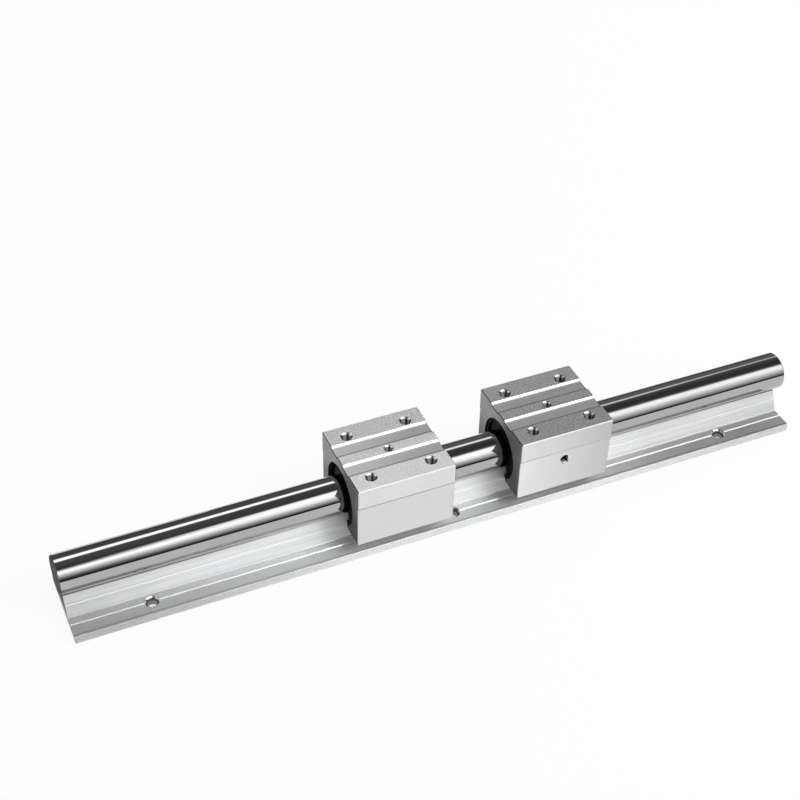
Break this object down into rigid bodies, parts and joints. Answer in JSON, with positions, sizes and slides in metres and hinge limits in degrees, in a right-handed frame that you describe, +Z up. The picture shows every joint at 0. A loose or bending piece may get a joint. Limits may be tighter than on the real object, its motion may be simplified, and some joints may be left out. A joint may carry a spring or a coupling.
{
  "type": "supported round rail with open bearing blocks",
  "caption": "Round chromed shaft on an aluminium support with a drilled base, and open linear bearing blocks that slide along it.",
  "frame": {"origin": "middle of the rail's underside, at half its length", "axes": "+X along the rail, +Y across it, +Z up from the base through the blocks' top faces"},
  "size_m": [0.504, 0.06, 0.06],
  "materials": {
    "support_aluminium": "extruded and brushed lengthwise",
    "shaft_chrome": "ground and hard chromed",
    "housing_aluminium": "satin, blasted on the top lands",
    "bearing_steel": "ground, lightly oiled",
    "retainer_plastic": "moulded",
    "seal_rubber": "moulded",
    "ring_steel": "phosphated spring steel",
    "screw_steel": "black oxide"
  },
  "bodies": {
    "rail": {"support_rail": "support_aluminium", "shaft": "shaft_chrome", "shaft_screw_left": "screw_steel", "shaft_screw_middle": "screw_steel", "shaft_screw_right": "screw_steel"},
    "left_block": {"left_block_housing": "housing_aluminium", "left_block_bearing_sleeve": "bearing_steel", "left_block_ball_retainer": "retainer_plastic", "left_block_seal_minus_x": "seal_rubber", "left_block_seal_plus_x": "seal_rubber", "left_block_snap_ring_minus_x": "ring_steel", "left_block_snap_ring_plus_x": "ring_steel", "left_block_set_screw": "screw_steel"},
    "right_block": {"right_block_housing": "housing_aluminium", "right_block_bearing_sleeve": "bearing_steel", "right_block_ball_retainer": "retainer_plastic", "right_block_seal_minus_x": "seal_rubber", "right_block_seal_plus_x": "seal_rubber", "right_block_snap_ring_minus_x": "ring_steel", "right_block_snap_ring_plus_x": "ring_steel", "right_block_set_screw": "screw_steel"}
  },
  "joints": [
    {"name": "left_block_slide", "type": "slide", "parent": "rail", "child": "left_block", "axis": [1, 0, 0], "range_m": [-0.178, 0.022]},
    {"name": "right_block_slide", "type": "slide", "parent": "rail", "child": "right_block", "axis": [1, 0, 0], "range_m": [-0.022, 0.144]}
  ]
}
